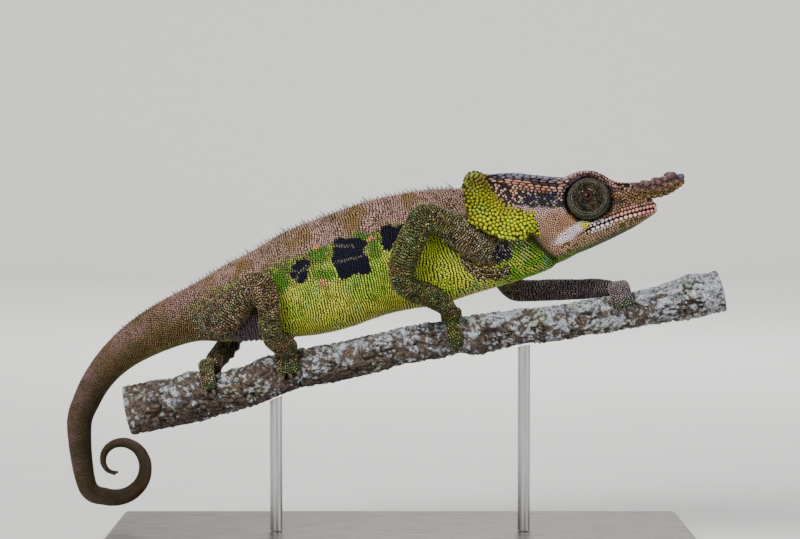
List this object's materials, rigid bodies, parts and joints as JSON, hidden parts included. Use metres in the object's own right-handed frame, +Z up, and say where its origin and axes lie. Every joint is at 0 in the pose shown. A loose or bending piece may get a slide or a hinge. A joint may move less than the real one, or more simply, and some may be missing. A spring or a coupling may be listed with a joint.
{
  "type": "green-eared chameleon",
  "caption": "Life-size still chameleon with ear lobes, snout horns, turret eyes and a coiled hanging tail, gripping a cut length of branch on a plain display stand.",
  "frame": {"origin": "middle of the stand base's underside", "axes": "+X the way the animal faces, +Y its left side, +Z up"},
  "size_m": [0.1933, 0.078, 0.1135],
  "materials": {
    "trunk": "granular scales, tan above and green below",
    "tail": "fine granular scales, olive brown with ochre rings",
    "head": "flat scales, pinkish brown with a dark network",
    "jaw": "fine scales, tan with pale lip scales",
    "lobe": "large rounded scales, yellow green",
    "turret": "fine scales in rings, dark grey green",
    "eyeball": "wet, red brown iris round a black pupil",
    "limb": "mixed granular scales, dark grey green",
    "bark": "rough grey brown bark with pale lichen crust",
    "stand": "dark satin board",
    "rod": "satin"
  },
  "bodies": {
    "root": {"head": "head", "left_ear_lobe": "lobe", "left_eye_turret": "turret", "left_eyeball": "eyeball", "left_foot": "limb", "left_forearm": "limb", "left_hand": "limb", "left_shin": "limb", "left_snout_horn": "head", "left_thigh": "limb", "left_upper_arm": "limb", "lower_jaw": "jaw", "neck": "trunk", "perch": "bark", "right_ear_lobe": "lobe", "right_eye_turret": "turret", "right_eyeball": "eyeball", "right_foot": "limb", "right_forearm": "limb", "right_hand": "limb", "right_shin": "limb", "right_snout_horn": "head", "right_thigh": "limb", "right_upper_arm": "limb", "stand_base": "stand", "stand_rod_front": "rod", "stand_rod_rear": "rod", "tail_bend": "tail", "tail_coil_inner": "tail", "tail_coil_outer": "tail", "tail_root": "tail", "tail_tip": "tail", "trunk": "trunk"}
  },
  "joints": []
}
